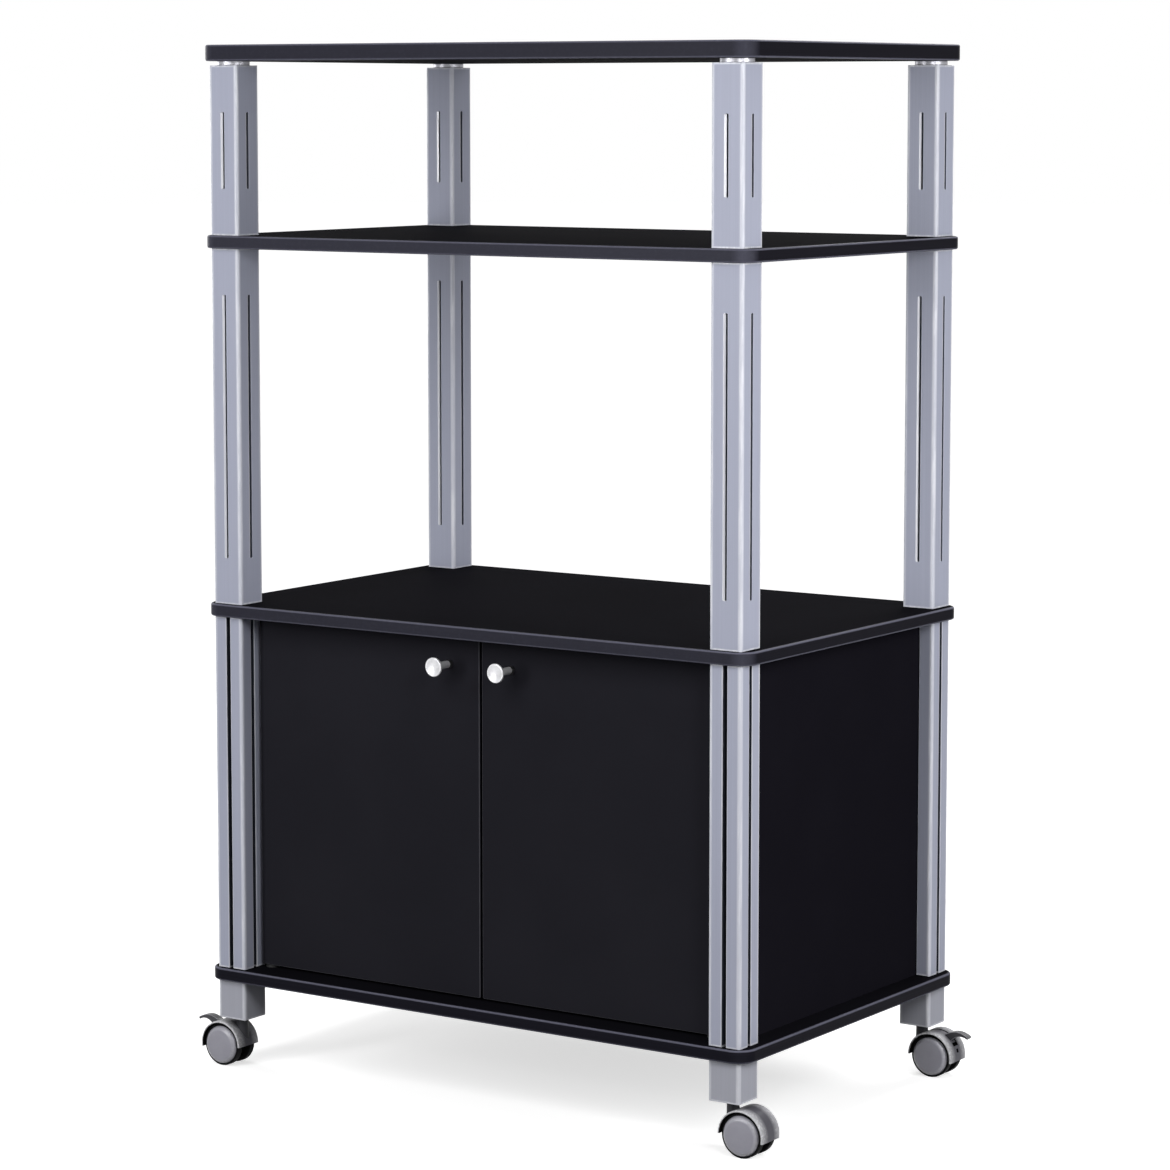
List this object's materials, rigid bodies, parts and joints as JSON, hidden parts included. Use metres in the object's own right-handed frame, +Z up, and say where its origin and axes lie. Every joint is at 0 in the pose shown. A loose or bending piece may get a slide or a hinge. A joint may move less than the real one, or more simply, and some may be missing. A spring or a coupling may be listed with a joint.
{
  "type": "kitchen trolley",
  "caption": "Open kitchen trolley: dark boards on square silver posts, a low cabinet with hinged doors and round knobs, on swivelling twin-wheel casters.",
  "frame": {"origin": "on the floor under the middle of the boards", "axes": "+X to the viewer's right as the doors are faced, the doors face -Y, +Z up"},
  "size_m": [0.6514, 0.382, 0.966],
  "materials": {
    "black_laminate": "satin laminate",
    "black_panel": "matt laminate",
    "silver_post": "satin",
    "chrome_knob": "polished",
    "bright_steel": "zinc plated",
    "black_nylon": "moulded",
    "magnet": "sintered",
    "caster_plastic": "satin",
    "wheel_plastic": "satin",
    "lever_plastic": "satin"
  },
  "bodies": {
    "frame": {"top_board": "black_laminate", "middle_shelf": "black_laminate", "worktop": "black_laminate", "base_board": "black_laminate", "side_panel_left": "black_panel", "side_panel_right": "black_panel", "back_panel": "black_panel", "upper_post_front_left": "silver_post", "middle_post_front_left": "silver_post", "cabinet_post_front_left": "silver_post", "leg_sleeve_front_left": "silver_post", "upper_post_front_right": "silver_post", "middle_post_front_right": "silver_post", "cabinet_post_front_right": "silver_post", "leg_sleeve_front_right": "silver_post", "upper_post_back_left": "silver_post", "middle_post_back_left": "silver_post", "cabinet_post_back_left": "silver_post", "leg_sleeve_back_left": "silver_post", "upper_post_back_right": "silver_post", "middle_post_back_right": "silver_post", "cabinet_post_back_right": "silver_post", "leg_sleeve_back_right": "silver_post", "top_collars": "silver_post", "post_end_plugs": "black_nylon", "leg_inserts": "black_nylon", "pivot_bushes": "black_nylon", "catch_housing": "black_nylon", "joining_studs": "bright_steel", "caster_stems": "bright_steel", "catch_magnets": "magnet"},
    "door_left": {"door_left": "black_laminate", "knob_left": "chrome_knob", "knob_screw_left": "bright_steel", "pivot_pins_left": "bright_steel", "strike_plate_left": "bright_steel"},
    "door_right": {"door_right": "black_laminate", "knob_right": "chrome_knob", "knob_screw_right": "bright_steel", "pivot_pins_right": "bright_steel", "strike_plate_right": "bright_steel"},
    "caster_front_left": {"caster_hood_front_left": "caster_plastic", "caster_axle_front_left": "bright_steel"},
    "outer_wheel_front_left": {"outer_wheel_front_left": "wheel_plastic"},
    "inner_wheel_front_left": {"inner_wheel_front_left": "wheel_plastic"},
    "caster_front_right": {"caster_hood_front_right": "caster_plastic", "caster_axle_front_right": "bright_steel"},
    "outer_wheel_front_right": {"outer_wheel_front_right": "wheel_plastic"},
    "inner_wheel_front_right": {"inner_wheel_front_right": "wheel_plastic"},
    "caster_back_left": {"caster_hood_back_left": "caster_plastic", "caster_axle_back_left": "bright_steel"},
    "outer_wheel_back_left": {"outer_wheel_back_left": "wheel_plastic"},
    "inner_wheel_back_left": {"inner_wheel_back_left": "wheel_plastic"},
    "caster_back_right": {"caster_hood_back_right": "caster_plastic", "caster_axle_back_right": "bright_steel"},
    "outer_wheel_back_right": {"outer_wheel_back_right": "wheel_plastic"},
    "inner_wheel_back_right": {"inner_wheel_back_right": "wheel_plastic"},
    "brake_lever_front_left": {"brake_lever_front_left": "lever_plastic"},
    "brake_lever_back_right": {"brake_lever_back_right": "lever_plastic"}
  },
  "joints": [
    {"name": "door_left_hinge", "type": "hinge", "parent": "frame", "child": "door_left", "pos_m": [-0.2475, -0.1565, 0.265], "axis": [0, 0, -1], "range_deg": [0, 95]},
    {"name": "door_right_hinge", "type": "hinge", "parent": "frame", "child": "door_right", "pos_m": [0.2475, -0.1565, 0.265], "axis": [0, 0, 1], "range_deg": [0, 95]},
    {"name": "swivel_front_left", "type": "hinge", "parent": "frame", "child": "caster_front_left", "pos_m": [-0.27475, -0.16925, 0.036], "axis": [0, 0, 1], "continuous": true},
    {"name": "spin_outer_front_left", "type": "hinge", "parent": "caster_front_left", "child": "outer_wheel_front_left", "pos_m": [-0.29075, -0.16925, 0.02], "axis": [0, 1, 0], "continuous": true},
    {"name": "spin_inner_front_left", "type": "hinge", "parent": "caster_front_left", "child": "inner_wheel_front_left", "pos_m": [-0.29075, -0.16925, 0.02], "axis": [0, 1, 0], "continuous": true},
    {"name": "brake_front_left", "type": "hinge", "parent": "caster_front_left", "child": "brake_lever_front_left", "pos_m": [-0.29895, -0.16925, 0.0354], "axis": [0, -1, 0], "range_deg": [0, 14]},
    {"name": "swivel_front_right", "type": "hinge", "parent": "frame", "child": "caster_front_right", "pos_m": [0.27475, -0.16925, 0.036], "axis": [0, 0, 1], "continuous": true},
    {"name": "spin_outer_front_right", "type": "hinge", "parent": "caster_front_right", "child": "outer_wheel_front_right", "pos_m": [0.29075, -0.16925, 0.02], "axis": [0, 1, 0], "continuous": true},
    {"name": "spin_inner_front_right", "type": "hinge", "parent": "caster_front_right", "child": "inner_wheel_front_right", "pos_m": [0.29075, -0.16925, 0.02], "axis": [0, 1, 0], "continuous": true},
    {"name": "swivel_back_left", "type": "hinge", "parent": "frame", "child": "caster_back_left", "pos_m": [-0.27475, 0.16925, 0.036], "axis": [0, 0, 1], "continuous": true},
    {"name": "spin_outer_back_left", "type": "hinge", "parent": "caster_back_left", "child": "outer_wheel_back_left", "pos_m": [-0.29075, 0.16925, 0.02], "axis": [0, 1, 0], "continuous": true},
    {"name": "spin_inner_back_left", "type": "hinge", "parent": "caster_back_left", "child": "inner_wheel_back_left", "pos_m": [-0.29075, 0.16925, 0.02], "axis": [0, 1, 0], "continuous": true},
    {"name": "swivel_back_right", "type": "hinge", "parent": "frame", "child": "caster_back_right", "pos_m": [0.27475, 0.16925, 0.036], "axis": [0, 0, 1], "continuous": true},
    {"name": "spin_outer_back_right", "type": "hinge", "parent": "caster_back_right", "child": "outer_wheel_back_right", "pos_m": [0.29075, 0.16925, 0.02], "axis": [0, 1, 0], "continuous": true},
    {"name": "spin_inner_back_right", "type": "hinge", "parent": "caster_back_right", "child": "inner_wheel_back_right", "pos_m": [0.29075, 0.16925, 0.02], "axis": [0, 1, 0], "continuous": true},
    {"name": "brake_back_right", "type": "hinge", "parent": "caster_back_right", "child": "brake_lever_back_right", "pos_m": [0.29895, 0.16925, 0.0354], "axis": [0, 1, 0], "range_deg": [0, 14]}
  ]
}
